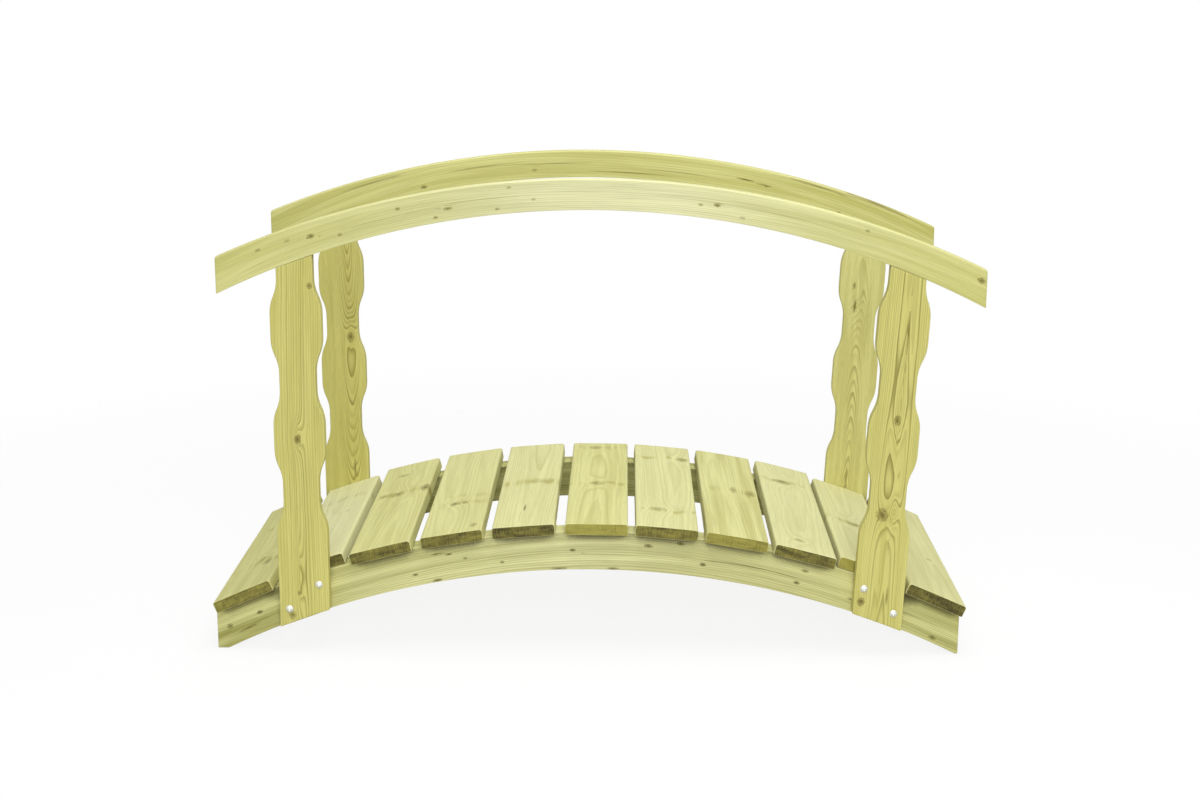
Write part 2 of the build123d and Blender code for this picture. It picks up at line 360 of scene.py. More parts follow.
def pressureTreatedPine(name, look):
    material = bpy.data.materials.new(name)
    tree = emptyTree(material)

    # what each board brings along: millimetres from its pith, place within the nearest knot, its tones
    grain, knot, boardLook, boardTone = (
        addNode(tree, "Attribute", {"attribute_name": key}).outputs["Vector"]
        for key in ("grainPoint", "knotPlace", "boardLook", "boardTone"))
    knotTone = addNode(tree, "Attribute", {"attribute_name": "knotTone"}).outputs["Fac"]
    pale, atEnd, edgeWear = addNode(tree, "SeparateXYZ", {}, {0: boardLook}).outputs
    endTone, ringTone, stainTone = addNode(tree, "SeparateXYZ", {}, {0: boardTone}).outputs
    fields = woodNoise(tree, grain)

    lateWood = growthRings(tree, grain, fields, look["ringSpacing"])
    rings = addNode(tree, "Math", {"operation": "MULTIPLY", 1: look["ringStrength"]}, {0: lateWood})
    rings = addNode(tree, "Math", {"operation": "MULTIPLY"}, {0: rings, 1: ringTone})
    start, full = woodFinish["streak"]
    streak = addNode(tree, "MapRange", {**smooth, "From Min": start, "From Max": full},
                     {"Value": fields["blotch"]})
    streak = addNode(tree, "Math", {"operation": "MULTIPLY", "use_clamp": True}, {0: streak, 1: stainTone})
    wear = addNode(tree, "Math", {"operation": "MULTIPLY", 1: woodFinish["worn"]}, {0: edgeWear})
    knotBody, knotDark = knotTones(tree, knot, knotTone)

    # colours, from the bare wood up
    bare = {6: linear(look["early"]), 7: linear(look["pale"])}
    colour = addNode(tree, "Mix", {"data_type": "RGBA", **bare}, {0: pale}).outputs[2]
    for amount, tint in ((rings, "late"), (streak, "stain"), (None, "shade"), (wear, "worn"),
                         (knotBody, "knot"), (knotDark, "knotHeart")):
        if tint == "shade":
            colour = addNode(tree, "VectorMath", {"operation": "SCALE"},
                             {0: colour, "Scale": woodShade(tree, look, fields)}).outputs[0]
        else:
            colour = addNode(tree, "Mix", {"data_type": "RGBA", 7: linear(look[tint])},
                             {0: amount, 6: colour}).outputs[2]
    sawn = sawnEnds(tree, look, fields, endTone)
    colour = addNode(tree, "Mix", {"data_type": "RGBA"}, {0: atEnd, 6: colour, 7: sawn}).outputs[2]
    # painted shade where pieces meet and under overhangs, mixed into the colour
    colour = addNode(tree, "Mix", {"data_type": "RGBA", 7: linear(paintedShadeLook["shadeColour"])},
                     {0: paintedCornerShade(tree), 6: colour}).outputs[2]

    smoothest, roughest = woodFinish["roughness"]
    rough = addNode(tree, "MapRange", {**noiseSpan, "To Min": smoothest, "To Max": roughest},
                    {"Value": fields["fibre"]})
    relief = addNode(tree, "Math", {"operation": "MULTIPLY_ADD", 1: woodFinish["ringRelief"]},
                     {0: lateWood, 2: fields["fibre"]})
    bump = addNode(tree, "Bump", {"Strength": 0.5, "Distance": woodFinish["relief"]}, {"Height": relief})
    surface = addNode(tree, "BsdfPrincipled", {"IOR": 1.5, "Specular IOR Level": 0.30},
                      {"Base Color": colour, "Roughness": rough, "Normal": bump})
    addNode(tree, "OutputMaterial", {}, {"Surface": surface})
    return material


# Zinc-plated mild steel, formed cold: bright, nearly white, with a slightly cloudy passivated film
zincLook = {
    "zinc": "#EDEEE6", "cloud": "#CFD0C8", "roughness": (0.34, 0.50),
    "cloudSize": 2.4,                     # mm
}


def zincPlatedSteel(look):
    material = bpy.data.materials.new("zincPlatedSteel")
    tree = emptyTree(material)
    spot = addNode(tree, "TexCoord").outputs["Object"]
    cloud = addNode(tree, "TexNoise", {"Scale": 1 / (look["cloudSize"] * mm), "Detail": 3.0},
                    {"Vector": spot})
    tones = {6: linear(look["zinc"]), 7: linear(look["cloud"])}
    colour = addNode(tree, "Mix", {"data_type": "RGBA", **tones}, {0: cloud}).outputs[2]
    low, high = look["roughness"]
    rough = addNode(tree, "MapRange", {"To Min": low, "To Max": high}, {"Value": cloud})
    surface = addNode(tree, "BsdfPrincipled", {"Metallic": 1.0}, {"Base Color": colour, "Roughness": rough})
    addNode(tree, "OutputMaterial", {}, {"Surface": surface})
    return material


pines = {name: pressureTreatedPine(name, look) for name, look in pineLooks.items()}
zinc = zincPlatedSteel(zincLook)
print("stage: materials ready")

# How finely the boards are drawn, in mm and in points along a section's sides
drawing = {
    "step": 4.5, "faceSteps": 22, "edgeSteps": 5, "cornerSteps": 3,
    "endRound": 0.9, "endTuck": 0.3,          # easing of the ends, and the share of it at the ring behind
    "hem": 0.02,                              # share of a side kept beside each corner
}
# Lengths in mm over which the boards' planed faces waver, and a second wave's height and quickness
waves = {"archFace": 500, "archEdge": 620, "postFace": 400, "plank": 420, "second": (0.5, 2.65)}
# How knots bend the grain: reach and push in half sizes, half width in mm from which one doesn't
knotBulge = {"along": 3.2, "across": 2.0, "push": 0.55, "widest": 20, "falloff": 1.4}
# How far a knot's own place is known, in half sizes: value outside, farthest, how much less its length
# counts, and the share of the reach over which it fades
knotSpread = {"beyond": 9.0, "farthest": 6.0, "flatten": 0.6, "fade": 0.35}
whorlWaves = ((7, 15), (3, 5))                # mm high, mm long
farStart = 4000                               # mm along the noise, at most, where a board starts
# What a board has unless its own entry says otherwise. Places and sizes are in mm
plainBoard = {
    "sway": (4, 900),                         # of the pith, and over what length
    "tight": 1.0,                             # rings closer together, or wider apart under 1
    "swellings": (),                          # of the rings: place, height, half length, half width, bulge
    "figure": (0, 400, 1),                    # height where rings show, half width, share left beside
    "rings": 1.0,                             # how strongly they show
    "whorls": (),                             # of small branches: place, half length, strength
    "endTone": 0.5,                           # darkness of the sawn ends
}


def slowWave(along, length):
    # between 0 and 1, and different at every call
    first, second = random.uniform(*anyPhase, 2)
    high, quick = waves["second"]
    turns = 2 * math.pi * along / length
    wave = np.sin(turns + first) + high * np.sin(quick * turns + second)
    return 0.5 + wave / (2 + 2 * high)


def stationsBetween(start, end):
    # places along a board and how far its section is drawn in there, so that its ends are eased
    ease, tuck = drawing["endRound"], drawing["endTuck"] * drawing["endRound"]
    count = max(2, round((end - start) / drawing["step"]))
    places = np.linspace(start + ease, end - ease, count)
    places = np.concatenate(([start, start + tuck], places, [end - tuck, end]))
    drawnIn = np.zeros(len(places))
    drawnIn[:2] = drawnIn[:-3:-1] = (ease, tuck)
    return places, drawnIn


def sectionLoops(low, high, back, front, radii, drawnIn):
    # rounded rectangle at every station; radii run low back, high back, high front, low front
    corners = ((low + drawnIn, back + drawnIn), (high - drawnIn, back + drawnIn),
               (high - drawnIn, front - drawnIn), (low + drawnIn, front - drawnIn))
    inward = ((1, 1), (-1, 1), (-1, -1), (1, -1))
    counts = (drawing["faceSteps"], drawing["edgeSteps"]) * 2
    turns, hem = drawing["cornerSteps"], drawing["hem"]

    def onCorner(k, share):
        k = k % 4
        angle = math.pi * (1 + (k + share) / 2)
        across = corners[k][0] + radii[k] * (inward[k][0] + math.cos(angle))
        through = corners[k][1] + radii[k] * (inward[k][1] + math.sin(angle))
        return np.stack((across, through))

    columns, wear = [], []
    for k in range(4):
        for j in range(turns + 1):
            columns.append(onCorner(k, j / turns))
            wear.append(math.sin(math.pi * (j + 0.5) / (turns + 1)))
        start, end = onCorner(k, 1), onCorner(k + 1, 0)
        for share in (hem, *np.linspace(0, 1, counts[k])[1:-1], 1 - hem):
            columns.append(start + (end - start) * share)
            wear.append(0.0)
    loops = np.stack(columns, axis=-1)
    return loops[0], loops[1], np.array(wear)


def knotFields(along, across, knots):
    # every point's place within its nearest knot, in that knot's own half sizes, and the knot's darkness
    flatten = knotSpread["flatten"]
    place = np.full(along.shape + (3,), knotSpread["beyond"])
    place[..., 2] = 0
    tone = np.zeros(along.shape)
    nearest = np.ones(along.shape)
    for knot in knots:
        middle, level, halfLong, halfWide, dark = knot
        limit = knotSpread["farthest"]
        for other in knots:
            if other is not knot:
                gap = math.hypot(flatten * (other[0] - middle) / halfLong, (other[1] - level) / halfWide)
                limit = min(limit, gap / 2)
        u, v = (along - middle) / halfLong, (across - level) / halfWide
        share = np.hypot(flatten * u, v) / limit
        hold = np.clip((1 - share) / knotSpread["fade"], 0, 1)
        here = share < nearest
        nearest[here] = share[here]
        for k, value in enumerate((u, v, hold * halfWide)):
            place[..., k][here] = value[here]
        tone[here] = (hold * dark)[here]
    return place, tone


def grainField(along, across, through, board):
    # millimetres along the board and from its pith, which lies askew and sways
    pithAcross, pithThrough = board["pith"]
    driftAcross, driftThrough = board["drift"]
    sway, swayLength = board["sway"]
    tight = board["tight"]
    bend = sway * np.sin(2 * math.pi * along / swayLength + random.uniform(*anyPhase))
    aside = (across - pithAcross - driftAcross * along / 1000 - bend) * tight
    deep = (through - pithThrough - driftThrough * along / 1000) * tight

    # rings bulge round knots as they do round swellings
    bulge = knotBulge
    swellings = [
        (middle, level, bulge["along"] * halfLong, bulge["across"] * halfWide, bulge["push"] * halfWide)
        for middle, level, halfLong, halfWide, dark in board["knots"] if halfWide < bulge["widest"]]
    for middle, level, halfLong, halfWide, push in [*swellings, *board["swellings"]]:
        farAlong = np.abs((along - middle) / halfLong) ** bulge["falloff"]
        farAcross = np.abs((across - level) / halfWide) ** bulge["falloff"]
        away = 1 + push * np.exp(-farAlong - farAcross) / np.hypot(aside, deep)
        aside, deep = aside * away, deep * away
    return np.stack((along + random.uniform(-farStart, farStart), aside, deep), axis=-1)


def alongBoard(tone, along):
    # a tone is one number for the whole board, or (place, tone) pairs along it
    return tone if np.isscalar(tone) else np.interp(along, *zip(*tone))


def boardTones(along, across, wear, board):
    look, tones = np.zeros((2,) + along.shape + (3,))
    look[..., 0] = alongBoard(board["pale"], along)
    look[0, :, 1] = look[-1, :, 1] = 1
    look[..., 2] = wear
    level, halfWide, rest = board["figure"]
    clear = rest + (1 - rest) * np.exp(-((across - level) / halfWide) ** 4)
    tones[..., 0] = board["endTone"]
    tones[..., 1] = alongBoard(board["rings"], along) * clear
    tones[..., 2] = alongBoard(board["stain"], along)
    # a whorl stains a wavy band right across
    for middle, halfLong, strength in board["whorls"]:
        phases = random.uniform(*anyPhase, 2)
        wave = sum(high * np.sin(across / long + phase) for (high, long), phase in zip(whorlWaves, phases))
        tones[..., 2] += strength * np.exp(-((along - middle - wave) / halfLong) ** 2)
    return look, tones


def makeBoard(name, node, shape, board, points, along, across, through, wear):
    # points: (3, stations, loop) in mm; along, across and through: the board's own coordinates there
    board = {**plainBoard, **board}
    grain = grainField(along, across, through, board)
    place, knotTone = knotFields(along, across, board["knots"])
    look, tones = boardTones(along, across, wear, board)
    fields = {"grainPoint": grain, "knotPlace": place, "boardLook": look, "boardTone": tones,
              "knotTone": knotTone}

    stations, around = along.shape
    rows, columns = np.meshgrid(np.arange(stations - 1) * around, np.arange(around), indexing="ij")
    beside = (columns + 1) % around
    quads = (rows + columns, rows + beside, rows + around + beside, rows + around + columns)
    quads = np.stack(quads, axis=-1).reshape(-1, 4)
    caps = [list(range(around)), list(range((stations - 1) * around, stations * around))]
    mesh = bpy.data.meshes.new(name)
    mesh.from_pydata((np.moveaxis(points, 0, -1).reshape(-1, 3) * mm).tolist(), [], quads.tolist() + caps)
    for key, values in fields.items():
        kind, entry = ("FLOAT", "value") if values.ndim == 2 else ("FLOAT_VECTOR", "vector")
        mesh.attributes.new(key, kind, "POINT").data.foreach_set(entry, values.ravel())
    mesh.polygons.foreach_set("use_smooth", [True] * len(quads) + [False, False])
    seatPiece(name, mesh, node, pines[shape["material"]])


def seatPiece(name, mesh, node, material):
    shell = bmesh.new()
    shell.from_mesh(mesh)
    bmesh.ops.recalc_face_normals(shell, faces=shell.faces)
    shell.to_mesh(mesh)
    shell.free()
    mesh.materials.append(material)
    piece = bpy.data.objects.new(name, mesh)
    bpy.context.collection.objects.link(piece)
    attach(piece, "root")
    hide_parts(node)


# Curved bearers under the deck. Knots are given along the arc from its top and above the lower edge:
# place, height, half length, half width, darkness. The pith is given across and through the board, and
# its drift in mm a metre. A tone may be pairs of a place and the tone there
bearers = {
    "piece": "bearerBoard", "node": "bearer", "material": "pressureTreatedPineBearer", "slot": "pine_bearer",
    "radius": 1535.0,                  # lower edge
    "upperRadius": 1609.0,
    "rise": 160.0,                     # ground to the lower edge at mid span
    "depth": 74.0,
    "arcShift": 0.0,                   # of both arcs to the right
    "innerFace": 230.0,                # from the bridge's middle
    "thickness": 45.0,
    "radii": (1.6, 1.6, 1.6, 1.6),     # easing: low back, high back, high front, low front
    "waver": 0.3,
    "sides": {
        "front": {
            "pith": (-40, 345), "drift": (6, 5), "sway": (5, 1100), "figure": (20, 60, 0.6),
            "pale": ((-700, 0.0), (-450, 0.15), (0, 0.45), (400, 0.15), (700, 0.0)),
            "stain": ((-700, 0.9), (-480, 0.45), (0, 0.15), (450, 0.35), (700, 0.6)),
            "knots": [
                (-281, 55, 7, 2.6, 1.0), (-258, 50, 5, 2.2, 0.9), (-326, 22, 5, 2.4, 0.8),
                (-230, 38, 4, 2.0, 0.6), (-34, 38, 5, 2.6, 0.9), (-288, 4, 8, 2.5, 0.9),
                (-623, 39, 5, 3, 0.9), (-685, 37, 5, 4, 0.7), (-655, 20, 16, 2.5, 0.7),
                (205, 25, 5, 2.8, 1.0), (380, 25, 5, 2.6, 1.0), (103, 50, 7, 3, 0.8),
                (389, 51, 6, 2.6, 0.7), (655, 10, 6, 3, 0.8), (290, 36, 46, 1.3, 0.8),
                (-164, 22, 4, 2.2, 0.7), (160, 60, 6, 3, 0.8), (484, 23, 5, 2.4, 0.6),
                (-60, 3, 14, 2.2, 0.7), (40, 3, 10, 2, 0.7), (-420, 48, 60, 1.6, 0.35),
                (-560, 24, 70, 2.4, 0.45), (30, 30, 90, 1.4, 0.25), (590, 34, 60, 2, 0.35)]},
        "rear": {
            "pith": (60, 300), "drift": (-5, 4), "sway": (6, 1300), "pale": 0.0, "stain": 0.6,
            "knots": [
                (-420, 40, 8, 4, 0.8), (-90, 25, 6, 4, 0.7), (170, 48, 7, 4, 0.8),
                (540, 30, 8, 5, 0.8)]},
    },
}

# Handrails on the posts' tops, a little crooked on them. Knots as on the bearers
rails = {
    "piece": "railBoard", "node": "handrail", "material": "pressureTreatedPineRail", "slot": "pine_rail",
    "radius": 1535.0,                  # lower edge
    "depth": 55.0,
    "innerFace": 275.0,
    "thickness": 24.0,
    "radii": (1.5, 2.5, 2.5, 1.5),
    "waver": 0.25,
    "sides": {
        "front": {
            "rise": 834.5, "upperRadius": 1648.0, "arcShift": -2.5,
            "pith": (-60, 350), "drift": (6, -5), "sway": (5, 1200), "figure": (20, 60, 0.5),
            # Painted light along the front rail: paler in its middle and more stained towards its ends, as if
            # lit most in its middle
            "pale": ((-690, 0.05), (-420, 0.25), (-120, 0.70), (150, 0.75), (420, 0.30), (700, 0.0)),
            "stain": ((-690, 0.5), (-350, 0.25), (0, 0.05), (350, 0.25), (700, 0.55)),
            "knots": [
                (-497, 32, 6, 3.6, 1.0), (-447, 19, 4, 2.5, 0.7), (-593, 41, 5, 2.5, 0.6),
                (-539, 38, 5, 2.5, 0.4), (-337, 38, 4, 2.5, 0.8), (-251, 22, 7, 2.6, 0.8),
                (-275, 10, 4, 2.2, 0.8), (-141, 46, 4, 2.4, 0.5), (-165, 10, 4, 2, 0.6),
                (-100, 22, 4, 2, 0.4), (192, 23, 4, 2.2, 0.6), (221, 26, 5, 3, 0.9),
                (268, 11, 5, 2.4, 0.4), (485, 44, 4, 2.4, 0.6), (703, 40, 6, 4, 1.0),
                (-380, 26, 60, 1.5, 0.3), (-180, 30, 70, 1.4, 0.3), (330, 30, 80, 1.5, 0.25)]},
        "rear": {
            "rise": 829.0, "upperRadius": 1750.0, "arcShift": -19.0,
            "pith": (90, 350), "drift": (-6, 6), "sway": (6, 900), "pale": 0.05, "figure": (20, 60, 0.6),
            "stain": ((-690, 0.6), (0, 0.35), (700, 0.8)),
            "knots": [
                (-338, 15, 6, 3, 0.9), (-518, 11, 6, 3, 0.7), (-109, 18, 5, 2.5, 0.6),
                (322, 31, 20, 3.6, 1.0), (364, 28, 15, 3.2, 0.9), (525, 17, 6, 3, 0.8),
                (90, 12, 75, 1.5, 0.7), (-60, 30, 60, 1.3, 0.5), (200, 22, 70, 1.4, 0.5),
                (468, 56, 60, 2.2, 0.6), (590, 64, 60, 2.6, 0.7), (-210, 36, 60, 1.6, 0.5),
                (-440, 50, 60, 2.2, 0.5)]},
    },
}


def makeArchedBoards(shape):
    for sideName, board in shape["sides"].items():
        own = {**shape, **board}
        node = f"{own['node']}_{sideName}"
        start, end = (corner.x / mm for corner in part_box(node))
        x, drawnIn = stationsBetween(start, end)
        fromTop = x - own["arcShift"]
        centre = own["rise"] - own["radius"]
        upperCentre = own["rise"] + own["depth"] - own["upperRadius"]
        low = np.maximum(0, centre + np.sqrt(own["radius"] ** 2 - fromTop ** 2))
        high = upperCentre + np.sqrt(own["upperRadius"] ** 2 - fromTop ** 2)
        back = np.full(len(x), own["innerFace"])
        front = back + own["thickness"] - own["waver"] * slowWave(x, waves["archFace"])
        high = high - own["waver"] * slowWave(x, waves["archEdge"])
        loopZ, loopY, wear = sectionLoops(low, high, back, front, own["radii"], drawnIn)
        loopX = np.broadcast_to(x[:, None], loopZ.shape)

        # the grain follows the lower edge's arc
        awayX, awayZ = loopX - own["arcShift"], loopZ - centre
        along = np.arctan2(awayX, awayZ) * own["radius"]
        across = np.hypot(awayX, awayZ) - own["radius"]
        makeBoard(f"{own['piece']}_{sideName}", node, shape, board,
                  np.stack((loopX, sides[sideName] * loopY, loopZ)), along, across, loopY, wear)


makeArchedBoards(bearers)
print("stage: bearers made")
makeArchedBoards(rails)
print("stage: handrails made")

# Wavy posts on the bearers' outer faces, leaning outwards by so many degrees. Knots are given by height
# and by place to the right of the middle
posts = {
    "material": "pressureTreatedPinePost", "slot": "pine_post",
    "width": 92.5,
    "neckWidth": 65.5,
    "sweepRadius": 80.0,               # of the arcs between a belly and a neck
    "firstNeck": 262.0,                # height halfway through the first narrowing
    "neckLength": 98.0,                # from one such halfway point to the next
    "bellyLength": 109.0,
    "spacing": 1066.0,
    "innerFace": 275.0,
    "thickness": 24.0,
    "radii": (1.5, 1.5, 1.5, 1.5),
    "waver": 0.3,
    "leanHeight": 110.0,               # of the point that a post leans about
    "footClear": 4.0,                  # above the bearer's lower edge
    "topClear": 0.2,                   # under the rail's lower edge line
    "footStraight": 200.0,             # over which the ends' slant dies out
    "topStraight": 28.0,
    "boards": {
        "front_left": {
            "lean": 0.0, "pith": (-80, 255), "tight": 0.55, "drift": (4, 8), "sway": (3, 900), "endTone": 0.4,
            "figure": (0, 24, 0.35), "pale": ((0, 0.0), (300, 0.05), (620, 0.0)), "stain": 0.25,
            "swellings": [(418, -3, 24, 9, 8), (150, -8, 70, 9, 9)],
            "knots": [(412, -3, 8, 5, 1.0), (75, -23, 7, 6, 0.7), (118, -9, 4, 3, 0.6),
                      (696, 27, 5, 4, 0.8)]},
        "front_right": {
            "lean": 2.9, "pith": (4, 271), "tight": 1.0, "drift": (5, -12), "sway": (2, 800), "endTone": 0.4,
            "rings": ((0, 0.65), (220, 0.75), (300, 1.05), (700, 1.1)), "figure": (4, 34, 0.7),
            "pale": ((0, 0.05), (300, 0.10), (700, 0.0)), "stain": ((0, 0.40), (250, 0.35), (340, 0.15)),
            "swellings": [(490, 7, 120, 12, 12), (283, 13, 32, 9, 10), (150, -2, 90, 7, 6)],
            "knots": [(277, -8, 11, 10, 0.9), (456, 4, 9, 5, 0.9), (108, -33, 7, 6, 1.0),
                      (620, 9, 75, 2.6, 0.7), (120, 14, 16, 2, 0.6)]},
        "rear_left": {
            "lean": 0.35, "pith": (18, 222), "tight": 1.25, "drift": (-5, 60), "sway": (2, 650),
            "endTone": 0.4, "figure": (16, 20, 0.3), "pale": 0.0, "stain": 0.25,
            "swellings": [(500, 18, 40, 14, 9)],
            "knots": [(490, 17, 9, 6, 0.8), (205, 18, 16, 1.8, 0.7)]},
        "rear_right": {
            "lean": 2.5, "pith": (-4, 274), "tight": 1.35, "drift": (4, -60), "sway": (2, 700),
            "endTone": 0.4, "rings": 0.7, "figure": (0, 13, 0.4),
            # Palest towards the top: partly its own paler wood, partly painted light against the shade it
            # stands in
            "pale": ((0, 0.8), (450, 0.8), (600, 1.0)), "stain": 0.25,
            "swellings": [(585, -8, 50, 10, 8)],
            "knots": [(563, -12, 10, 3, 1.0), (606, -16, 6, 3, 0.7), (190, -2, 22, 2, 0.6)]},
    },
}


def halfWidth(height, shape):
    # straight bellies and necks, joined by pairs of equal arcs
    half, neck, radius = shape["width"] / 2, shape["neckWidth"] / 2, shape["sweepRadius"]
    swing = (half - neck) / 2
    reach = math.sqrt(radius ** 2 - (radius - swing) ** 2)
    result = np.full(height.shape, half)
    middle, narrowing = shape["firstNeck"], True
    while middle < height.max() + reach:
        start, end, way = (half, neck, -1) if narrowing else (neck, half, 1)
        up = radius - np.sqrt(np.maximum(radius ** 2 - (height - middle + reach) ** 2, 0))
        down = radius - np.sqrt(np.maximum(radius ** 2 - (middle + reach - height) ** 2, 0))
        result = np.where((height > middle - reach) & (height <= middle), start + way * up, result)
        result = np.where((height > middle) & (height < middle + reach), end - way * down, result)
        result = np.where(height >= middle + reach, end, result)
        middle += shape["neckLength"] if narrowing else shape["bellyLength"]
        narrowing = not narrowing
    return result


def cutAt(arc, footX, footZ, lean, across):
    # height, along a leaning post, of a round cut below or above it; arc: its middle and radius
    awayX, awayZ = arc[0] - footX, arc[1] - footZ
    middle = awayX * math.cos(lean) - awayZ * math.sin(lean)
    level = footZ + awayX * math.sin(lean) + awayZ * math.cos(lean)
    return level + np.sqrt(arc[2] ** 2 - (across - middle) ** 2)


def makePosts(shape):
    for boardName, board in shape["boards"].items():
        sideName, endName = boardName.split("_")
        side, end = sides[sideName], ends[endName]
        lean = math.radians(end * board["lean"])
        footX, footZ = end * shape["spacing"] / 2, shape["leanHeight"]
        rail = rails["sides"][sideName]
        footArc = (0, bearers["rise"] - bearers["radius"], bearers["radius"] + shape["footClear"])
        topArc = (rail["arcShift"], rail["rise"] - rails["radius"], rails["radius"] - shape["topClear"])

        bottom, top = (cutAt(arc, footX, footZ, lean, 0) for arc in (footArc, topArc))
        station, drawnIn = stationsBetween(bottom, top)
        wide = halfWidth(station, shape)
        back = np.full(len(station), shape["innerFace"])
        front = back + shape["thickness"] - shape["waver"] * slowWave(station, waves["postFace"])
        across, through, wear = sectionLoops(-wide, wide, back, front, shape["radii"], drawnIn)

        # both ends slant to their round cuts
        station = station[:, None]
        nearFoot = np.clip(1 - (station - bottom) / shape["footStraight"], 0, 1)
        nearTop = np.clip(1 - (top - station) / shape["topStraight"], 0, 1)
        height = station + nearFoot * (cutAt(footArc, footX, footZ, lean, across) - bottom)
        height = height + nearTop * (cutAt(topArc, footX, footZ, lean, across) - top)
        x = footX + across * math.cos(lean) + (height - footZ) * math.sin(lean)
        z = footZ - across * math.sin(lean) + (height - footZ) * math.cos(lean)
        makeBoard(f"postBoard_{boardName}", f"post_{boardName}", shape, board,
                  np.stack((x, side * through, z)), height, across, through, wear)


makePosts(posts)
print("stage: posts made")

# Deck planks. Knots are given across the bridge from its middle line and across the plank
deck = {
    "material": "pressureTreatedPinePlank", "slot": "pine_plank",
    "width": 116.0,
    "thickness": 22.0,
    "gap": 15.5,                       # along the bearers' top edge
    "slide": 7.0,                      # of the whole deck to the right, then of single planks
    "nudge": {1: -11.5, 2: -3.0, 3: -4.0, 4: -1.0, 6: 2.5, 8: -1.5, 9: -5.0, 10: -12.0, 11: -12.0},
    "seat": 0.2,                       # above the bearers' top edge
    "radii": (1.4, 1.4, 4.0, 4.0),     # two lower long edges, two upper ones
    "cup": 0.5,                        # how much lower a plank's long edges lie than its middle
    "waver": 0.3,
    "boards": {
        1: {"pith": (20, -60), "drift": (8, 9), "pale": 0.0, "stain": 0.35, "endTone": 0.5,
            "whorls": [(-136, 13, 0.9)],
            "knots": [(-113, 11, 9, 9, 0.4), (-150, 26, 12, 12, 0.55), (120, -20, 8, 6, 0.3)]},
        # Drawn at its palest: partly its own pale wood, partly painted light against the post's shadow on it
        2: {"pith": (-12, -75), "drift": (-6, 9), "pale": 1.0, "stain": 0.05, "rings": 0.6, "endTone": 0.8,
            "whorls": [(150, 12, 0.5)],
            "knots": [(40, 22, 4, 5, 0.3)]},
        3: {"pith": (15, -66), "drift": (8, -9), "pale": 0.15, "stain": 0.25, "endTone": 0.65,
            "whorls": [(68, 15, 1.3)],
            "knots": [(68, -34, 12, 16, 0.4), (62, -6, 13, 12, 0.65), (70, 50, 20, 8, 0.9),
                      (210, -12, 10, 12, 0.4)]},
        4: {"pith": (-25, -80), "drift": (-6, 8), "pale": 0.30, "stain": 0.20, "endTone": 0.65,
            "whorls": [(-98, 11, 0.5), (-50, 9, 0.4)],
            "knots": [(-99, -10, 12, 11, 0.8), (-97, 10, 9, 5, 0.6), (-262, 40, 11, 6, 0.5)]},
        5: {"pith": (8, -58), "drift": (5, 9), "pale": 0.55, "stain": 0.10, "endTone": 0.8,
            "whorls": [(2, 18, 0.9)],
            "knots": [(4, 26, 16, 20, 0.25), (-179, -2, 18, 1.8, 1.0)]},
        6: {"pith": (-5, -90), "drift": (-6, -8), "pale": 0.12, "stain": 0.35, "endTone": 0.05,
            "whorls": [(-20, 9, 0.9), (262, 9, 0.5)],
            "knots": [(262, -9, 11, 11, 0.5), (-20, -6, 11, 12, 0.55)]},
        7: {"pith": (18, -72), "drift": (8, 6), "pale": 0.55, "stain": 0.10, "rings": 0.8, "endTone": 0.6,
            "whorls": [(202, 9, 1.1), (-188, 9, 0.9)],
            "knots": [(200, 42, 13, 11, 0.55), (-182, -16, 10, 14, 0.35)]},
        8: {"pith": (-20, -64), "drift": (-6, -8), "pale": 0.20, "stain": 0.50, "endTone": 0.25,
            "whorls": [(16, 18, 0.8)],
            "knots": [(24, 8, 20, 6, 0.5), (14, 42, 18, 8, 0.6)]},
        9: {"pith": (5, -84), "drift": (5, 8), "pale": 0.70, "stain": 0.08, "rings": 0.6, "endTone": 0.7,
            "whorls": [(170, 12, 0.6)],
            "knots": [(170, -10, 12, 16, 0.7), (-240, -9, 9, 10, 0.4)]},
        10: {"pith": (-14, -70), "drift": (-8, 7), "pale": 0.70, "stain": 0.10, "rings": 0.6, "endTone": 0.05,
             "whorls": [(-4, 12, 1.0)],
             "knots": [(-8, 2, 11, 14, 0.5)]},
        11: {"pith": (24, -78), "drift": (6, -8), "pale": 0.5, "stain": 0.15, "rings": 0.7, "endTone": 0.85,
             "knots": [(-60, 20, 4, 6, 0.4)]},
    },
}


def makeDeck(shape):
    crown = bearers["upperRadius"]
    middleRadius = crown + shape["seat"] + shape["thickness"] / 2
    spacing = shape["width"] + shape["gap"]
    half, halfThick = shape["width"] / 2, shape["thickness"] / 2
    for number, board in shape["boards"].items():
        node = f"deck_plank_{number:02d}"
        fromMiddle = number - (len(shape["boards"]) + 1) / 2
        turn = (fromMiddle * spacing + shape["slide"] + shape["nudge"].get(number, 0)) / crown
        centreX = middleRadius * math.sin(turn)
        centreZ = bearers["rise"] - bearers["radius"] + middleRadius * math.cos(turn)
        y, drawnIn = stationsBetween(*(corner.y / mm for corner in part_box(node)))
        waver = [shape["waver"] * slowWave(y, waves["plank"]) for k in range(3)]
        under, upper = np.full(len(y), -halfThick), halfThick - waver[2]
        across, through, wear = sectionLoops(-half + waver[0], half - waver[1], under, upper,
                                             shape["radii"], drawnIn)
        through = through - np.where(through > 0, shape["cup"] * (across / half) ** 2, 0)
        along = np.broadcast_to(y[:, None], across.shape)
        x = centreX + across * math.cos(turn) + through * math.sin(turn)
        z = centreZ - across * math.sin(turn) + through * math.cos(turn)
        makeBoard(f"plankBoard_{number:02d}", node, shape, board,
                  np.stack((x, along, z)), along, across, through, wear)


makeDeck(deck)
print("stage: deck made")

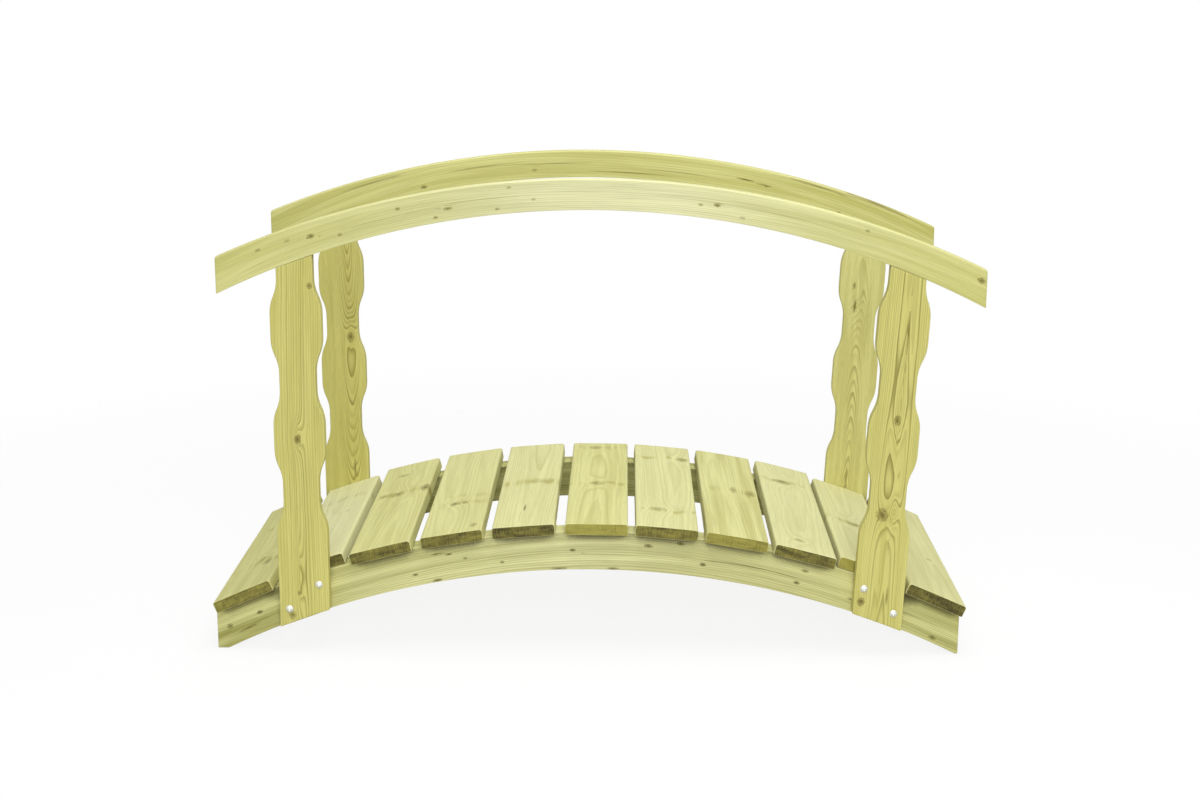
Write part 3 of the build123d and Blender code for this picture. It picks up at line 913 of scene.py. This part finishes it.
# Coach bolts through the posts' feet, each with its washer and nut
bolts = {
    "headRadius": 7.0,
    "headHeight": 3.6,
    "rim": 0.7,
    "rimEdge": (0.15, 0.3),            # along and into the head
    "domeSteps": 12,
    "crownDrop": 0.1,                  # from the dome's top to the mark's rim
    "dimple": (1.7, 0.9),              # radius and depth of the mark in the middle of the head
    "dimpleWall": (0.7, 0.25),         # share of both part way down, and of the radius at the bottom
    "shankRadius": 3.0,
    "threadPitch": 1.0,
    "threadDepth": 0.5,
    "threadLength": 14.0,
    "threadSteps": 4,                  # rings drawn in one turn
    "threadRunOut": 0.8,               # at the tip
    "threadShoulder": 0.3,             # from the thread to the full shank
    "rodStart": 0.5,                   # behind the head, hidden in the wood
    "tipTaper": 0.5,                   # how much thinner the tip is
    "washer": (9.0, 1.6),              # radius and thickness
    "washerEdge": (0.15, 0.25, 0.35),  # easing at the wood, and along and into the outer rim
    "nut": (5.0, 5.0),                 # half the width across flats, height
    "nutChamfer": 0.9,
    "stickOut": 4.0,
    "segments": 48,
    "sharpFrom": 28,                   # degrees
}


def headRings(shape):
    # low dome with a small mark in its middle
    radius, rim, (edge, inwards) = shape["headRadius"], shape["rim"], shape["rimEdge"]
    domeHeight = shape["headHeight"] - rim
    domeRadius = (radius ** 2 + domeHeight ** 2) / (2 * domeHeight)
    spread = math.asin(radius / domeRadius)
    dimple, depth = shape["dimple"]
    rings = [(0.0, radius - inwards), (edge, radius), (rim, radius)]
    for k in range(1, shape["domeSteps"]):
        angle = spread * (1 - k / shape["domeSteps"])
        reach = domeRadius * math.sin(angle)
        if reach > dimple:
            rings.append((rim + domeRadius * (math.cos(angle) - math.cos(spread)), reach))
    crown = shape["headHeight"] - shape["crownDrop"]
    wall, bottom = shape["dimpleWall"]
    return rings + [(crown, dimple), (crown - depth * wall, dimple * wall), (crown - depth, dimple * bottom)]


def rodRings(shape, grip):
    # plain shank, with a thread that runs out at its tip
    pitch, deep, shank = shape["threadPitch"], shape["threadDepth"], shape["shankRadius"]
    tip = -(grip + shape["washer"][1] + shape["nut"][1] + shape["stickOut"])
    start = tip + shape["threadLength"]

    def threadAt(level):
        fade = min(1, max(0, (level - tip) / shape["threadRunOut"]))
        return lambda angle: (shank - shape["tipTaper"] * (1 - fade)
                              - deep * 2 * np.abs((level / pitch + angle / (2 * math.pi)) % 1 - 0.5) * fade)

    count = round(shape["threadLength"] / pitch * shape["threadSteps"]) + 1
    thread = [(level, threadAt(level)) for level in np.linspace(tip, start, count)]
    return thread + [(start + shape["threadShoulder"], shank), (-shape["rodStart"], shank)]


def washerRings(shape, grip):
    radius, thick = shape["washer"]
    near, far, bevel = shape["washerEdge"]
    return [(-grip, radius - near), (-grip - near, radius), (-grip - thick + far, radius),
            (-grip - thick, radius - bevel)]


def nutRings(shape, grip):
    flats, height = shape["nut"]
    top = -grip - shape["washer"][1]
    corner = flats / math.cos(math.pi / 6)

    def nutAt(level):
        inside = min(top - level, level - (top - height))
        limit = corner - max(0, shape["nutChamfer"] - inside)
        return lambda angle: np.minimum(flats / np.cos((angle % (math.pi / 3)) - math.pi / 6), limit)

    steps = np.linspace(0, shape["nutChamfer"], 4)
    return [(level, nutAt(level)) for level in top - np.concatenate((steps, height - steps[::-1]))]


def turnedShell(rings, segments, placeAt):
    # rings: (height, radius at each angle); returns points and faces of a closed body
    angles = np.arange(segments) * 2 * math.pi / segments
    points, faces = [], []
    for height, radius in rings:
        reach = radius(angles) if callable(radius) else np.full(segments, radius)
        points += [placeAt(r * math.cos(a), r * math.sin(a), height) for r, a in zip(reach, angles)]
    for low in range(0, (len(rings) - 1) * segments, segments):
        high = low + segments
        for k in range(segments):
            beside = (k + 1) % segments
            faces.append((low + k, low + beside, high + beside, high + k))
    faces += [tuple(range(segments)), tuple(range((len(rings) - 1) * segments, len(rings) * segments))]
    return points, faces


def makeBolts(shape):
    outerFace = posts["innerFace"] + posts["thickness"]
    grip = posts["thickness"] + bearers["thickness"]
    bodies = (headRings(shape), rodRings(shape, grip), washerRings(shape, grip), nutRings(shape, grip))
    for node in sorted(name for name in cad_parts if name.startswith("coach_bolt")):
        low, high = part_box(node)
        side = sides["front" if "front" in node else "rear"]
        boltX, boltZ = (low.x + high.x) / 2 / mm, (low.z + high.z) / 2 / mm
        points, faces = [], []
        for rings in bodies:
            bodyPoints, bodyFaces = turnedShell(
                rings, shape["segments"],
                lambda x, z, height: (boltX + x, side * (outerFace + height), boltZ + z))
            faces += [tuple(k + len(points) for k in face) for face in bodyFaces]
            points += bodyPoints
        name = node.replace("coach_bolt", "boltSet")
        mesh = bpy.data.meshes.new(name)
        mesh.from_pydata([(x * mm, y * mm, z * mm) for x, y, z in points], [], faces)
        seatPiece(name, mesh, node, zinc)
        mesh.set_sharp_from_angle(angle=math.radians(shape["sharpFrom"]))
        mesh.polygons.foreach_set("use_smooth", [True] * len(mesh.polygons))


makeBolts(bolts)
print("stage: bolts made")
